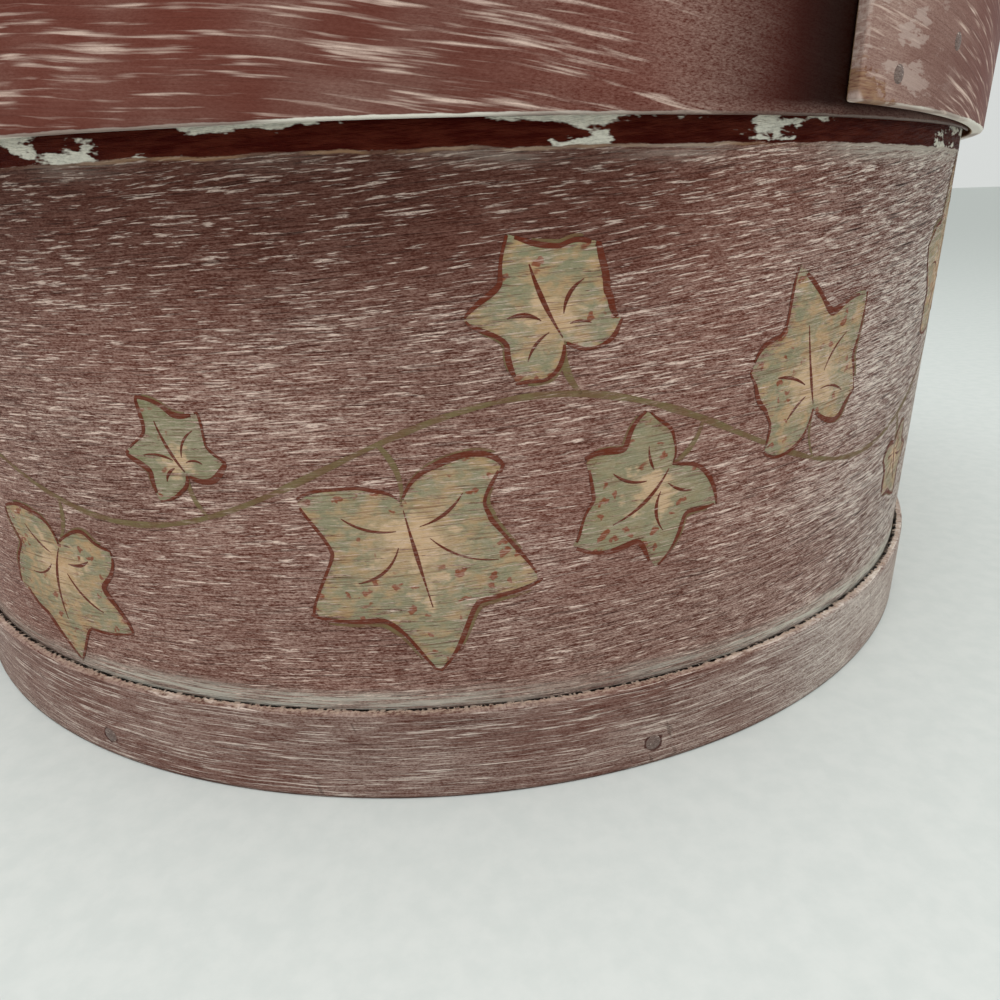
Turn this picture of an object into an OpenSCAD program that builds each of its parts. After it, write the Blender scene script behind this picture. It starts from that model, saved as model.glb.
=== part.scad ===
// Round bentwood hatbox: a bent, lapped wall round a bottom of three planks, a bottom hoop,
// and a lift-off lid with a deep bent rim. Millimetres, +Z up, origin under the middle of the box.
// An azimuth of 0 is the front of the box, at -Y, and azimuths grow towards +X.

/* [Wall] */
// Outer radius of the bent wall
wall_r = 191.8; // [150:0.1:240]
// Thickness of the wall board
wall_t = 3.2; // [2.6:0.1:5]
// Height of the wall, from the table to the edge that carries the lid
wall_h = 204.8; // [150:0.1:280]
// Azimuth of the wall's outer end
wall_lap_az = 150; // [120:1:180]
// Length of the wall's lap
wall_lap_len = 120; // [90:1:150]
// Thickness of the wall's outer end, which is pared thin
wall_end_t = 0.9; // [0.8:0.1:1.1]
// Depth that the wall is pared beside its outer end
wall_dip = 0.6; // [0.5:0.1:0.8]

/* [Bottom] */
// Thickness of the bottom planks
bottom_t = 14; // [8:0.5:20]

/* [Bottom hoop] */
// Height of the bottom hoop
hoop_h = 26; // [22:0.5:45]
// Thickness of the bottom hoop
hoop_t = 3; // [2.4:0.1:5]
// Azimuth of the hoop's outer end
hoop_lap_az = 208; // [190:1:230]
// Length of the hoop's lap
hoop_lap_len = 90; // [70:1:120]
// Thickness of the hoop's outer end
hoop_end_t = 2; // [1:0.1:2.4]
// Depth that the hoop is pared beside its outer end
hoop_dip = 0.8; // [0.4:0.1:1.2]

/* [Lid] */
// Height of the lid's rim
rim_h = 58; // [40:0.5:90]
// Thickness of the lid's rim
rim_t = 3.2; // [2.6:0.1:5]
// Thickness of the lid planks
lid_t = 9; // [7:0.5:16]
// Azimuth of the rim's outer end
rim_lap_az = 26.4; // [10:0.1:40]
// Length of the rim's lap
rim_lap_len = 143; // [100:1:170]
// Thickness of the rim's outer end, which is left blunt
rim_end_t = 3.2; // [1.5:0.1:4]
// Depth that the rim dips beside its outer end
rim_dip = 1.4; // [0.6:0.1:1.8]
// How far the rim's outer end stands above the rim's lower edge
rim_lap_rise = 2.6; // [0:0.1:5]

/* [Nails, tacks and dowels] */
// Number of nails round the bottom, and round the lid
nail_count = 8; // [8:8:16]
// Azimuth of the first nail in the hoop
hoop_nail_az = 14.6; // [10:0.1:18]
// Azimuth of the first nail in the lid's rim
rim_nail_az = 12; // [8:0.5:16]
// Length of a nail
nail_len = 25; // [18:1:35]
// Radius of a nail's shank
nail_shank_r = 0.9; // [0.6:0.1:1.2]
// Radius of a nail's head
nail_head_r = 2.2; // [1.6:0.1:2.8]
// Radius of a tack's shank
tack_shank_r = 0.7; // [0.5:0.1:1]
// Radius of a tack's head
tack_head_r = 1.9; // [1.4:0.1:2.4]
// Thickness of the head of a nail or tack
head_t = 0.7; // [0.6:0.1:1]
// Depth that a head is driven into the wood
head_sink = 0.4; // [0.3:0.05:0.5]
// Distance from a strip's outer end to the first column of tacks
tack_inset = 13; // [9:0.5:18]
// Distance between the two columns of tacks in a lap
tack_column_gap = 26; // [18:0.5:30]
// Largest distance between tacks in a column
tack_pitch = 32; // [22:1:45]
// Distance of the end tacks from a strip's edges
tack_edge = 8; // [6:0.5:10]
// Diameter of the dowels between planks
dowel_d = 5; // [3:0.1:6]
// Length of a dowel
dowel_len = 36; // [20:1:50]
// Distance of the dowels from the middle of a plank's edge
dowel_x = 90; // [50:1:110]

/* [Fits] */
// Gap between the two layers of a lap
lap_gap = 0.4; // [0.3:0.05:0.5]
// Thickness of the feathered inner end under a lap
inner_end_t = 0.5; // [0.4:0.1:0.8]
// Length over which a strip dips beside its outer end
dip_len = 26; // [18:1:40]
// Gap between the hoop and the wall
hoop_gap = 0.2; // [0.1:0.05:0.3]
// Gap between the lid's rim and the wall
rim_clearance = 1.5; // [1.2:0.1:3]
// Gap between the lid's top and the wall's upper edge
lid_seat_gap = 0.2; // [0.1:0.05:0.3]
// Gap round the edge of a planked head
head_gap = 0.15; // [0.1:0.05:0.3]
// Gap between planks
plank_gap = 0.2; // [0.1:0.05:0.3]
// Gap round a shank, a head or a dowel in its hole
hole_gap = 0.05; // [0.03:0.01:0.1]
// Width of the worn upper corners of the hoop and the rim
worn = 1; // [0.5:0.1:1.5]

/* [Hidden] */
// Smoothness of the large and the small rounds
$fn = 360;
SMALL_FN = 48;
// Planks in a head, which the nodes name
PLANKS = 3;
// Share of a nail's length that tapers, and steps in the dome of its head
TIP_SHARE = 0.2;
DOME_STEPS = 4;
// Angle over which the bent end and the run of a strip share their wood
LAP_BLEND = 3;
// Step in the pared face, just under the outer end
LAP_STEP = 0.05;
WOOD = [0.47, 0.30, 0.26];
LID_WOOD = [0.45, 0.24, 0.20];
RAW_WOOD = [0.72, 0.55, 0.38];
STEEL = [0.35, 0.30, 0.28];

rim_in_r = wall_r + rim_clearance;
lid_under_z = wall_h + lid_seat_gap;
lid_top_z = lid_under_z + lid_t;
rim_z = lid_top_z - rim_h;
bottom_head_r = wall_r - wall_t - head_gap;
lid_head_r = rim_in_r - head_gap;

// A strip is [inner radius, thickness, azimuth of its outer end, lap length, outer end thickness, dip].
WALL = [wall_r - wall_t, wall_t, wall_lap_az, wall_lap_len, wall_end_t, wall_dip];
HOOP = [wall_r + hoop_gap, hoop_t, hoop_lap_az, hoop_lap_len, hoop_end_t, hoop_dip];
RIM = [rim_in_r, rim_t, rim_lap_az, rim_lap_len, rim_end_t, rim_dip];

function strip_r(s) = s[0];
function strip_t(s) = s[1];
function strip_az(s) = s[2];
function strip_end_t(s) = s[4];
function strip_dip(s) = s[5];

// Angle that a length covers along a strip
function strip_angle(s, len) = len / (strip_r(s) + strip_t(s)) * 180 / PI;
function lap_angle(s) = strip_angle(s, s[3]);
function dip_angle(s) = strip_angle(s, dip_len);

// A bent end leaves its circle on an arc about a shifted centre. The arc has radius r from the
// strip's own centre at angle from, and r + rise at angle to.
function arc_shift(r, rise, from, to) = rise * (2 * r + rise) / (2 * (r + rise)) / sin(to - from);
function arc_reach(r, rise, from, to, a) =
    let (s = arc_shift(r, rise, from, to) * sin(a - from)) s + sqrt(r * r + s * s);

// How far each face of a lap climbs towards the outer end
function seam_rise(s) = strip_t(s) - strip_dip(s) + lap_gap;
function face_rise(s) = strip_end_t(s) + lap_gap - strip_dip(s);

// Radius of a strip's outer face at an angle from its outer end, over the lap and beyond it
function face_r(s, a) =
    a >= 0 && a <= lap_angle(s)
        ? arc_reach(strip_r(s) + strip_t(s), face_rise(s), lap_angle(s), 0, a)
        : strip_r(s) + strip_t(s);

// Angle at which the inner end has thinned to its feathered edge
function inner_end_angle(s) = lap_angle(s)
    - asin((inner_end_t + lap_gap) / arc_shift(strip_r(s) - lap_gap, seam_rise(s), 0, lap_angle(s)));

// Angle from a strip's outer end to an azimuth, from -180 to 180
function from_end(s, az) = (az - strip_az(s) + 540) % 360 - 180;

module shifted_arc(r, rise, from, to) {
    shift = arc_shift(r, rise, from, to);
    rotate(from + 90)
        translate([shift, 0])
            circle(r = sqrt(r * r + shift * shift));
}

module sector(from, to, reach) {
    polygon(concat([[0, 0]], [
        for (i = [0 : SMALL_FN])
            let (a = from + (to - from) * i / SMALL_FN) 2 * reach * [cos(a), sin(a)]
    ]));
}

// The run of a strip all the way round, with its dip and the feathered inner end under the lap
module strip_run(s) {
    r = strip_r(s);
    outer = r + strip_t(s);
    difference() {
        circle(r = outer);
        circle(r = r);
        sector(-dip_angle(s) - LAP_BLEND, lap_angle(s) - LAP_BLEND, outer);
    }
    difference() {
        intersection() {
            circle(r = outer);
            shifted_arc(outer, -strip_dip(s), -dip_angle(s), 0);
            sector(-dip_angle(s) - LAP_BLEND, 0, outer);
        }
        circle(r = r);
    }
    difference() {
        intersection() {
            shifted_arc(r - lap_gap, seam_rise(s) - LAP_STEP, lap_angle(s), 0);
            sector(0, inner_end_angle(s), outer);
        }
        circle(r = r);
    }
}

// The outer end of a strip, which climbs over its inner end
module strip_lap(s) {
    r = strip_r(s);
    outer = r + strip_t(s);
    difference() {
        intersection() {
            shifted_arc(outer, face_rise(s), lap_angle(s), 0);
            sector(0, lap_angle(s) + LAP_BLEND, outer);
        }
        shifted_arc(r, seam_rise(s), lap_angle(s), 0);
        circle(r = r);
    }
}

// A tilted block that trims the lower edge of a lap, from nothing over the inner end's edge to rise
// at the outer end
module lap_trim(s, rise) {
    outer = strip_r(s) + strip_t(s);
    start = inner_end_angle(s);
    tilt = atan(rise / (outer * sin(start)));
    rotate(start)
        rotate([-tilt, 0, 0])
            translate([0, -2 * outer, -outer])
                cube([2 * outer, 2 * outer, outer]);
}

module bent_strip(s, height, lap_rise = 0) {
    rotate(strip_az(s) - 90) {
        linear_extrude(height) strip_run(s);
        difference() {
            linear_extrude(height) strip_lap(s);
            if (lap_rise > 0) lap_trim(s, lap_rise);
        }
    }
}

// Takes the sharpness off the upper outer corner of a strip, apart from its lap and dip
module worn_corner(s, z) {
    r = strip_r(s) + strip_t(s);
    reach = strip_t(s);
    difference() {
        rotate_extrude()
            polygon([
                [r - worn - reach, z + reach],
                [r - worn + reach, z - reach],
                [r - worn + reach, z + reach]
            ]);
        rotate(strip_az(s) - 90)
            translate([0, 0, z - 2 * reach])
                linear_extrude(4 * reach)
                    sector(-dip_angle(s) - LAP_BLEND, lap_angle(s) + LAP_BLEND, r);
    }
}

// Puts a nail or tack on a face at radius r, with its +Z pointing outwards
module on_face(az, r, z) {
    rotate(az - 90)
        translate([r, 0, z])
            rotate([0, 90, 0])
                children();
}

// A pointed shank under a low domed head, turned as one piece
module fastener(head_r, shank_r, len) {
    tip = len * TIP_SHARE;
    rise = head_t - head_sink;
    dome_r = (head_r * head_r + rise * rise) / (2 * rise);
    sweep = asin(head_r / dome_r);
    dome = [
        for (i = [DOME_STEPS : -1 : 0])
            let (a = sweep * i / DOME_STEPS) [dome_r * sin(a), rise - dome_r + dome_r * cos(a)]
    ];
    rotate_extrude($fn = SMALL_FN)
        polygon(concat([
            [0, -len],
            [shank_r / 2, -len],
            [shank_r, tip - len],
            [shank_r, -head_sink],
            [head_r, -head_sink]
        ], dome));
}

module fastener_hole(head_r, shank_r, len) {
    translate([0, 0, -len - hole_gap])
        cylinder(h = len + hole_gap, r = shank_r + hole_gap, $fn = SMALL_FN);
    translate([0, 0, -head_sink])
        cylinder(h = len, r = head_r + hole_gap, $fn = SMALL_FN);
}

// Places a ring of nails round a strip
module nail_ring(s, first_az, z) {
    for (i = [0 : nail_count - 1]) {
        az = first_az + i * 360 / nail_count;
        on_face(az, face_r(s, from_end(s, az)), z) children();
    }
}

// Places two columns of tacks in a lap, the second half a pitch lower and one tack shorter
module tack_columns(s, low, high) {
    spaces = max(1, ceil((high - low) / tack_pitch));
    step = (high - low) / spaces;
    for (column = [0, 1], i = [0 : spaces - column]) {
        a = strip_angle(s, tack_inset + column * tack_column_gap);
        on_face(strip_az(s) + a, face_r(s, a), low + (i + column / 2) * step) children();
    }
}

// A tack reaches from the outer face of a lap to the strip's inner face at its thinnest column
function tack_len(s) = face_r(s, strip_angle(s, tack_inset + tack_column_gap)) - strip_r(s);

module nail() fastener(nail_head_r, nail_shank_r, nail_len);
module nail_hole() fastener_hole(nail_head_r, nail_shank_r, nail_len);
module tack(s) fastener(tack_head_r, tack_shank_r, tack_len(s));
module tack_hole(s) fastener_hole(tack_head_r, tack_shank_r, tack_len(s) + strip_t(s));

module bottom_nail_ring() nail_ring(HOOP, hoop_nail_az, bottom_t / 2) children();
module lid_nail_ring() nail_ring(RIM, rim_nail_az, lid_top_z - lid_t / 2) children();
module wall_tack_columns() tack_columns(WALL, hoop_h + tack_edge, wall_h - tack_edge) children();
module hoop_tack_columns() tack_columns(HOOP, tack_edge, hoop_h - tack_edge) children();
module rim_tack_columns() tack_columns(RIM, rim_z + tack_edge, lid_under_z - tack_edge) children();

// Places two dowels in each joint between the planks of a head
module dowel_places(head_r, z) {
    for (joint = [1 : PLANKS - 1], side = [-1, 1])
        translate([side * dowel_x, -head_r + joint * 2 * head_r / PLANKS, z])
            rotate([90, 0, 0])
                children();
}

module dowels(head_r, z) {
    dowel_places(head_r, z)
        cylinder(h = dowel_len, d = dowel_d, center = true, $fn = SMALL_FN);
}

module dowel_holes(head_r, z) {
    dowel_places(head_r, z)
        cylinder(h = dowel_len + 2 * hole_gap, d = dowel_d + 2 * hole_gap, center = true, $fn = SMALL_FN);
}

// One plank of a round head, counted from the front
module head_plank(head_r, z, thickness, index) {
    width = 2 * head_r / PLANKS;
    first = index == 0 ? 0 : plank_gap / 2;
    last = index == PLANKS - 1 ? 0 : plank_gap / 2;
    difference() {
        intersection() {
            translate([0, 0, z]) cylinder(h = thickness, r = head_r);
            translate([-head_r, -head_r + index * width + first, z])
                cube([2 * head_r, width - first - last, thickness]);
        }
        dowel_holes(head_r, z + thickness / 2);
    }
}

module body_wall() {
    color(WOOD)
        difference() {
            bent_strip(WALL, wall_h);
            // The lap is planed flush where the hoop goes round it
            difference() {
                translate([0, 0, -wall_t]) cylinder(h = hoop_h + wall_t, r = wall_r + 2 * wall_t);
                translate([0, 0, -2 * wall_t]) cylinder(h = hoop_h + 4 * wall_t, r = wall_r);
            }
            wall_tack_columns() tack_hole(WALL);
            bottom_nail_ring() nail_hole();
        }
}

module wall_lap_tacks() {
    color(STEEL) wall_tack_columns() tack(WALL);
}

module bottom_plank(index) {
    color(RAW_WOOD)
        difference() {
            head_plank(bottom_head_r, 0, bottom_t, index);
            bottom_nail_ring() nail_hole();
        }
}

module bottom_plank_front() { bottom_plank(0); }
module bottom_plank_middle() { bottom_plank(1); }
module bottom_plank_back() { bottom_plank(2); }

module bottom_dowels() {
    color(RAW_WOOD) dowels(bottom_head_r, bottom_t / 2);
}

module bottom_hoop() {
    color(WOOD)
        difference() {
            bent_strip(HOOP, hoop_h);
            bottom_nail_ring() nail_hole();
            hoop_tack_columns() tack_hole(HOOP);
            worn_corner(HOOP, hoop_h);
        }
}

module hoop_lap_tacks() {
    color(STEEL) hoop_tack_columns() tack(HOOP);
}

module hoop_nails() {
    color(STEEL) bottom_nail_ring() nail();
}

module lid_rim() {
    color(LID_WOOD)
        difference() {
            translate([0, 0, rim_z]) bent_strip(RIM, rim_h, rim_lap_rise);
            lid_nail_ring() nail_hole();
            rim_tack_columns() tack_hole(RIM);
            worn_corner(RIM, lid_top_z);
        }
}

module rim_lap_tacks() {
    color(STEEL) rim_tack_columns() tack(RIM);
}

module lid_plank(index) {
    color(LID_WOOD)
        difference() {
            head_plank(lid_head_r, lid_under_z, lid_t, index);
            lid_nail_ring() nail_hole();
        }
}

module lid_plank_front() { lid_plank(0); }
module lid_plank_middle() { lid_plank(1); }
module lid_plank_back() { lid_plank(2); }

module lid_dowels() {
    color(RAW_WOOD) dowels(lid_head_r, lid_under_z + lid_t / 2);
}

module rim_nails() {
    color(STEEL) lid_nail_ring() nail();
}

body_wall();
wall_lap_tacks();
bottom_plank_front();
bottom_plank_middle();
bottom_plank_back();
bottom_dowels();
bottom_hoop();
hoop_lap_tacks();
hoop_nails();
lid_rim();
rim_lap_tacks();
lid_plank_front();
lid_plank_middle();
lid_plank_back();
lid_dowels();
rim_nails();
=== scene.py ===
import math
import random

import bmesh
import bpy
from mathutils import Matrix, Vector, noise


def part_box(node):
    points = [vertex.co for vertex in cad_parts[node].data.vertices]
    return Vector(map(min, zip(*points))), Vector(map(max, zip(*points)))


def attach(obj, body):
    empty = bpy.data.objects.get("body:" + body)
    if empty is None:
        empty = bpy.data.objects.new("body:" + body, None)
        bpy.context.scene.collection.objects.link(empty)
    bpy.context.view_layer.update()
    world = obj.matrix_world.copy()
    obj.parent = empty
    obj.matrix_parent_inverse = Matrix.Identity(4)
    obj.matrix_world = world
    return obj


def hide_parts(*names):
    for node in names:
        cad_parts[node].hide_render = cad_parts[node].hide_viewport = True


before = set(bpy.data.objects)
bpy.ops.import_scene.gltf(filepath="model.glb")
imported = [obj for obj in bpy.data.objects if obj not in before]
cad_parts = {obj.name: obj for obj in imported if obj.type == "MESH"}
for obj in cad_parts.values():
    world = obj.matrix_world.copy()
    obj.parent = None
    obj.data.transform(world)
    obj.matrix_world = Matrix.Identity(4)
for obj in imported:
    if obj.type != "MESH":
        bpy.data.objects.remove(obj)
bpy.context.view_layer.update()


# Bottom planks: three pine boards, planed and left bare, that close the foot of the box.
# They are dowelled edge to edge, sawn to a round as one, and nailed through the hoop.
MM = 0.001
PLANK_SEGMENTS = 240
PLANK_EDGE = 0.5 * MM
SHARP_ANGLE = math.radians(30)
WOOD_SPECULAR = 0.04
BOTTOM_PLANKS = ("bottom_plank_front", "bottom_plank_middle", "bottom_plank_back")


def shade(red, green, blue):
    """A colour in 0-255 display values, as the linear colour that a shader takes."""
    parts = [value / 255 for value in (red, green, blue)]
    curve = [((part + 0.055) / 1.055) ** 2.4 if part > 0.04045 else part / 12.92 for part in parts]
    return (*curve, 1.0)


def add(tree, kind, feeds=None, **settings):
    """A new node with its settings, its input values and its links."""
    node = tree.nodes.new(kind)
    for name, value in settings.items():
        setattr(node, name, value)
    for socket, value in (feeds or {}).items():
        if isinstance(value, bpy.types.NodeSocket):
            tree.links.new(value, node.inputs[socket])
        else:
            node.inputs[socket].default_value = value
    return node


def calc(tree, operation, first, second=0.0, clamp=False):
    feeds = {0: first, 1: second}
    return add(tree, "ShaderNodeMath", feeds, operation=operation, use_clamp=clamp).outputs[0]


def plus(tree, first, second):
    return calc(tree, "ADD", first, second)


def minus(tree, first, second):
    return calc(tree, "SUBTRACT", first, second)


def times(tree, first, second, clamp=False):
    return calc(tree, "MULTIPLY", first, second, clamp)


def over(tree, first, second):
    return calc(tree, "DIVIDE", first, second)


def ramp(tree, value, low, high, bottom=0.0, top=1.0):
    """A soft step from bottom to top as value goes from low to high."""
    feeds = {0: value, 1: low, 2: high, 3: bottom, 4: top}
    return add(tree, "ShaderNodeMapRange", feeds, interpolation_type="SMOOTHSTEP").outputs[0]


def blend(tree, share, first, second, mode="MIX"):
    feeds = {0: share, 6: first, 7: second}
    return add(tree, "ShaderNodeMix", feeds, data_type="RGBA", blend_type=mode).outputs[2]


def mottle(tree, board, along, deep, across, detail=2.0, rough=0.5, offset=(0.0, 0.0, 0.0)):
    """Noise whose cells are that many millimetres along, through and across the board."""
    cells = add(tree, "ShaderNodeVectorMath",
                {0: board, 1: (1 / along, 1 / deep, 1 / across), 2: offset}, operation="MULTIPLY_ADD")
    feeds = {"Vector": cells.outputs[0], "Scale": 1.0, "Detail": detail, "Roughness": rough}
    return add(tree, "ShaderNodeTexNoise", feeds).outputs[0]


def ripple(tree, board, *cells):
    """The same noise, but swinging about zero."""
    return minus(tree, mottle(tree, board, *cells), 0.5)


def split(tree, vector):
    return add(tree, "ShaderNodeSeparateXYZ", {0: vector}).outputs


def join(tree, x, y, z):
    return add(tree, "ShaderNodeCombineXYZ", {0: x, 1: y, 2: z}).outputs[0]


def toned(tree, color, tone):
    """A colour made darker or lighter by a factor."""
    return blend(tree, 1.0, color, join(tree, tone, tone, tone), "MULTIPLY")


def new_group(name, inputs, outputs):
    """A shader node group with its named sockets; returns it with its input sockets."""
    group = bpy.data.node_groups.new(name, "ShaderNodeTree")
    for way, sockets in (("INPUT", inputs), ("OUTPUT", outputs)):
        for socket, kind in sockets.items():
            group.interface.new_socket(name=socket, in_out=way, socket_type="NodeSocket" + kind)
    return group, add(group, "NodeGroupInput").outputs


def new_material(name, roughness, board_from="attribute"):
    """A material with its tree, its shader and the board coordinates in millimetres."""
    material = bpy.data.materials.new(name)
    material.use_nodes = True
    tree = material.node_tree
    shader = tree.nodes["Principled BSDF"]
    shader.inputs["Roughness"].default_value = roughness
    shader.inputs["Specular IOR Level"].default_value = WOOD_SPECULAR
    if board_from == "attribute":
        board = add(tree, "ShaderNodeAttribute", attribute_name="board").outputs["Vector"]
    else:
        spot = add(tree, "ShaderNodeTexCoord").outputs["Object"]
        scaled = add(tree, "ShaderNodeVectorMath", {0: spot, "Scale": 1 / MM}, operation="SCALE")
        board = scaled.outputs[0]
    return material, tree, shader, board


def dress(tree, shader, color, height, depth, roughness=None):
    """Colour, relief and gloss into the shader; depth is the relief's height in millimetres."""
    bump = add(tree, "ShaderNodeBump", {"Strength": 1.0, "Distance": depth * MM, "Height": height})
    tree.links.new(color, shader.inputs["Base Color"])
    tree.links.new(bump.outputs[0], shader.inputs["Normal"])
    if roughness is not None:
        tree.links.new(roughness, shader.inputs["Roughness"])


def make_pine():
    """Bare pine: growth lines that wander along the board, fine fibre and a little grime."""
    group, given = new_group(
        "bare_pine", {"Board": "Vector", "Pale": "Color", "Dark": "Color"},
        {"Color": "Color", "Height": "Float"})
    board = given["Board"]
    warp = mottle(group, board, 150, 30, 24, 2.0, 0.45)
    height = split(group, board)[2]
    turns = plus(group, times(group, height, RING_PITCH), times(group, warp, RING_WANDER))
    rings = calc(group, "POWER", calc(group, "ABSOLUTE", calc(group, "SINE", turns)), RING_SHARPNESS)
    fibre = mottle(group, board, 18, 2, 0.35, 2.0, 0.6)
    grime = mottle(group, board, 60, 40, 38, 3.0, 0.6, (4.0, 1.0, 9.0))
    tone = plus(group, times(group, rings, 0.5), ramp(group, fibre, 0.4, 0.68, 0.0, 0.34))
    wood = blend(group, tone, given["Pale"], given["Dark"])
    aged = blend(group, ramp(group, grime, 0.42, 0.72, 0.0, 0.45), wood, PINE_GRIME, "MULTIPLY")
    relief = minus(group, times(group, fibre, 0.5), times(group, rings, 0.3))
    add(group, "NodeGroupOutput", {"Color": aged, "Height": relief})
    return group


PINE_PALE = shade(196, 160, 116)
PINE_DARK = shade(146, 104, 66)
PINE_GRIME = (0.35, 0.29, 0.24, 1.0)
RING_PITCH = 0.5
RING_WANDER = 22
RING_SHARPNESS = 1.6
PINE_ROUGHNESS = 0.72
PINE_RELIEF = 0.25
pine_group = make_pine()


def place_group(tree, group, **feeds):
    return add(tree, "ShaderNodeGroup", feeds, node_tree=group).outputs


def pine_on(tree, board):
    return place_group(tree, pine_group, Board=board, Pale=PINE_PALE, Dark=PINE_DARK)


def pine_material(name, board_from):
    material, tree, shader, board = new_material(name, PINE_ROUGHNESS, board_from)
    pine = pine_on(tree, board)
    dress(tree, shader, pine["Color"], pine["Height"], PINE_RELIEF)
    return material


def place_piece(bm, name, material, body, slot, *nodes):
    """The finished mesh as a piece that rides on a body and stands for its CAD nodes."""
    bmesh.ops.recalc_face_normals(bm, faces=bm.faces[:])
    mesh = bpy.data.meshes.new(name)
    bm.to_mesh(mesh)
    bm.free()
    mesh.shade_smooth()
    mesh.materials.append(material)
    piece = bpy.data.objects.new(name, mesh)
    bpy.context.scene.collection.objects.link(piece)
    piece.modifiers.new("flat_faces", "WEIGHTED_NORMAL")
    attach(piece, body)
    if nodes:
        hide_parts(*nodes)
    return piece


def make_plank(node, radius, material, body, slot):
    """A slice of a round, as thick as the CAD plank, with broken edges and its grain along X."""
    low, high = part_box(node)
    bm = bmesh.new()
    bmesh.ops.create_circle(bm, cap_ends=True, segments=PLANK_SEGMENTS, radius=radius)
    for side, normal in ((high.y, (0, 1, 0)), (low.y, (0, -1, 0))):
        bmesh.ops.bisect_plane(bm, geom=bm.verts[:] + bm.edges[:] + bm.faces[:], dist=1e-7,
                               plane_co=(0, side, 0), plane_no=normal, clear_outer=True)
    top = bmesh.ops.extrude_face_region(bm, geom=bm.faces[:])["geom"]
    bmesh.ops.translate(bm, verts=[v for v in top if isinstance(v, bmesh.types.BMVert)],
                        vec=(0, 0, high.z - low.z))
    bmesh.ops.translate(bm, verts=bm.verts[:], vec=(0, 0, low.z))
    bmesh.ops.recalc_face_normals(bm, faces=bm.faces[:])
    sharp = [edge for edge in bm.edges if edge.calc_face_angle(0.0) > SHARP_ANGLE]
    bmesh.ops.bevel(bm, geom=sharp, offset=PLANK_EDGE, affect="EDGES", segments=2, profile=0.5,
                    material=-1)
    board = bm.verts.layers.float_vector.new("board")
    for vert in bm.verts:
        vert[board] = Vector((vert.co.x, vert.co.z, vert.co.y)) / MM
    return place_piece(bm, node + "_board", material, body, slot, node)


bare_pine = pine_material("bare_pine_boards", "attribute")
bottom_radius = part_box("bottom_plank_middle")[1].x
for bottom_plank in BOTTOM_PLANKS:
    make_plank(bottom_plank, bottom_radius, bare_pine, "box", "bare_wood")
dowel_pine = pine_material("bare_pine_dowels", "object")
for dowels in ("bottom_dowels", "lid_dowels"):
    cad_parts[dowels].material_slots[0].material = dowel_pine


# Body wall: one thin board, steamed and bent to a round, its outer end lapped over a feathered
# inner end. The outside is painted red-brown and rubbed with white lime that stays in the grain.
# The inside is bare, and a strip under the lid's edge has plain paint with old white flakes.
WALL = {"inner": 188.6, "thick": 3.2, "height": 204.8, "foot": 0.0, "end_at": 150.0,
        "lap": 120.0, "end_thick": 0.9, "dip": 0.6, "end_rise": 0.0}
LAP_GAP = 0.4
FEATHER_STEP = 0.05
FEATHER_TIP = 0.5
DIP_LENGTH = 26.0
BOARD_EDGE = 0.6
BOARD_STEPS = (20, 20)
EDGE_WANDER = 0.12
WANDER_RUN = 40
WANDER_RISE = 60


def arc_shift(radius, rise, start, stop):
    """How far a circle's centre moves for its edge to climb by rise between two angles."""
    return rise * (2 * radius + rise) / (2 * (radius + rise)) / math.sin(stop - start)


def arc_reach(radius, rise, start, stop, angle):
    side = arc_shift(radius, rise, start, stop) * math.sin(angle - start)
    return side + math.hypot(radius, side)


def outside(strip):
    """The radius of a bent board's outer face, away from its lap."""
    return strip["inner"] + strip["thick"]


def lap_seam(strip):
    """How far the seam between a lap's two layers climbs."""
    return strip["thick"] - strip["dip"] + LAP_GAP


def lap_angles(strip):
    """The angles of a bent board's lap, of its feathered inner end and of the dip before it."""
    lap = strip["lap"] / outside(strip)
    lift = arc_shift(strip["inner"] - LAP_GAP, lap_seam(strip), 0, lap)
    return lap, lap - math.asin((FEATHER_TIP + LAP_GAP) / lift), DIP_LENGTH / outside(strip)


def bent_faces(strip, turn):
    """The inner and the outer face's radius at an angle from the board's outer free end."""
    inner, outer, seam = strip["inner"], outside(strip), lap_seam(strip)
    lap, _, dip = lap_angles(strip)
    past = turn - 2 * math.pi
    if turn < lap:
        face = strip["end_thick"] + LAP_GAP - strip["dip"]
        return arc_reach(inner, seam, lap, 0, turn), arc_reach(outer, face, lap, 0, turn)
    if past > 0:
        return inner, arc_reach(inner - LAP_GAP, seam - FEATHER_STEP, lap, 0, past)
    if past > -dip:
        return inner, arc_reach(outer, -strip["dip"], -dip, 0, past)
    return inner, outer


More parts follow.
